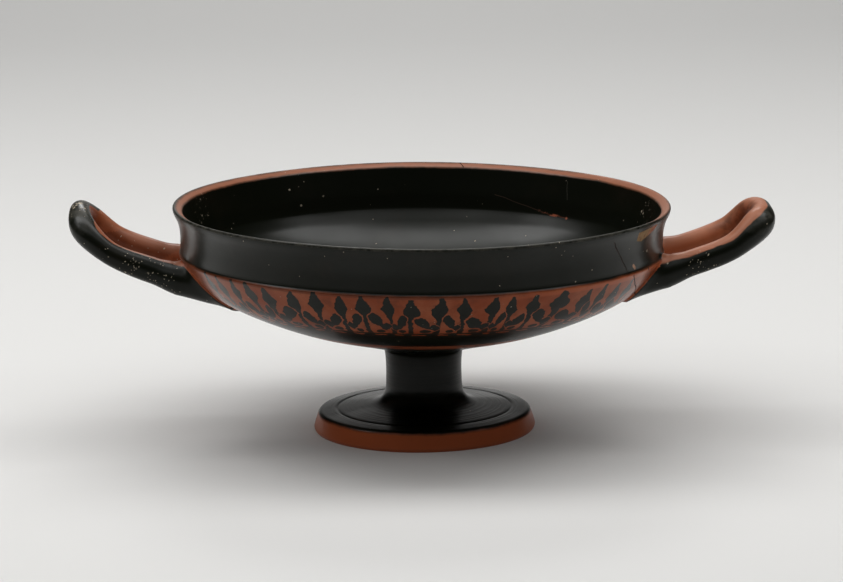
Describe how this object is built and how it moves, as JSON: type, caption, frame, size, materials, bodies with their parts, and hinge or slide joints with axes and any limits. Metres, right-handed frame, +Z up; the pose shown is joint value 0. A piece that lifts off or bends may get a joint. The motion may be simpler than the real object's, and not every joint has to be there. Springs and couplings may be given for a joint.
{
  "type": "kylix cup",
  "caption": "Shallow stemmed drinking cup with an offset concave lip, a disc foot, two upturned loop handles and a painted band of buds.",
  "frame": {"origin": "on the table under the middle of the foot", "axes": "+Z up, +X through the right handle, -Y towards the side that is seen"},
  "size_m": [0.2907, 0.205, 0.0981],
  "materials": {
    "slipped_clay": "fired orange clay under glossy black slip, with the clay left bare on the inner rim, the frieze, the inner faces of the handles and the edge of the foot; worn, flecked and repaired"
  },
  "bodies": {
    "root": {"kylix": "slipped_clay"}
  },
  "joints": []
}
